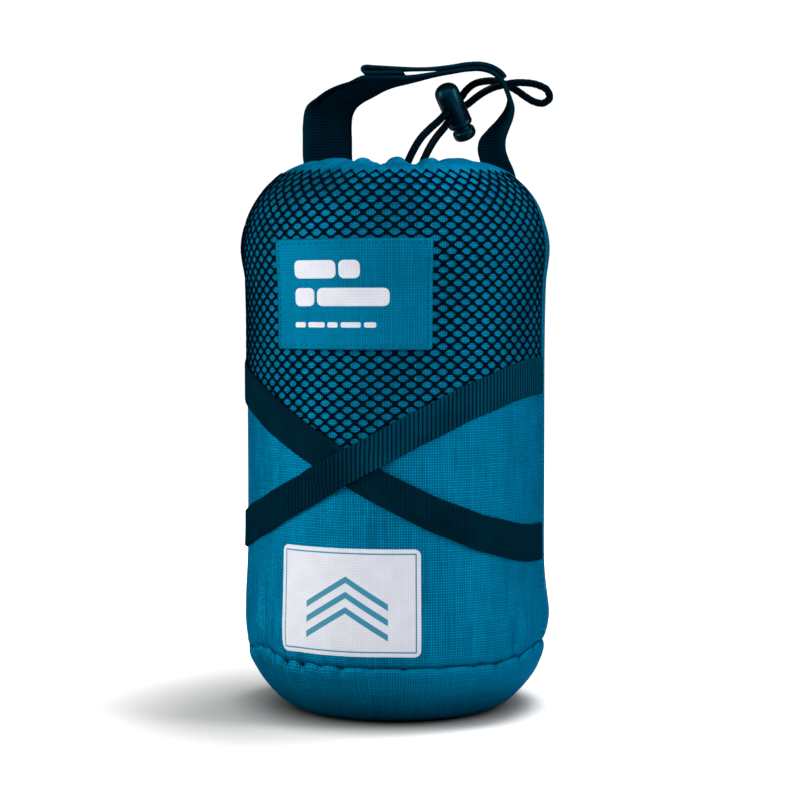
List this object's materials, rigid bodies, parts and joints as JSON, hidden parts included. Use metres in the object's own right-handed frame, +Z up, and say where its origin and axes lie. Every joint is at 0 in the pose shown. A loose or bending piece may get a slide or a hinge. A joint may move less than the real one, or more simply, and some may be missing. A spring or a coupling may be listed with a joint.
{
  "type": "packed bicycle cover",
  "caption": "Bicycle cover folded into its round drawstring sack: teal cloth with a netting pocket, crossed webbing straps, a webbing carry handle and a cord with a push lock.",
  "frame": {"origin": "middle of the underside of the sack, on the surface it stands on", "axes": "+Z up along the sack, -Y towards the front with the netting and straps, side seams at -X and +X"},
  "size_m": [0.1618, 0.1637, 0.3366],
  "materials": {
    "ripstop_cloth": "coated ripstop weave with a soft sheen",
    "netting": "knitted open diamond netting",
    "webbing": "ribbed woven webbing",
    "cord": "smooth braided cord",
    "lock_plastic": "satin moulded"
  },
  "bodies": {
    "sack": {"sack_body": "ripstop_cloth", "base_panel": "ripstop_cloth", "label_patch": "ripstop_cloth", "mesh_pocket": "netting", "cross_strap_lower": "webbing", "cross_strap_upper": "webbing", "carry_handle": "webbing", "handle_ply": "webbing", "drawcord": "cord", "lock_barrel": "lock_plastic"},
    "button": {"lock_button": "lock_plastic"}
  },
  "joints": [
    {"name": "button_press", "type": "slide", "parent": "sack", "child": "button", "axis": [-0.2713, -0.4815, 0.8334], "range_m": [0, 0.0015], "stiffness_N_per_m": 600, "springref_m": -0.002}
  ]
}
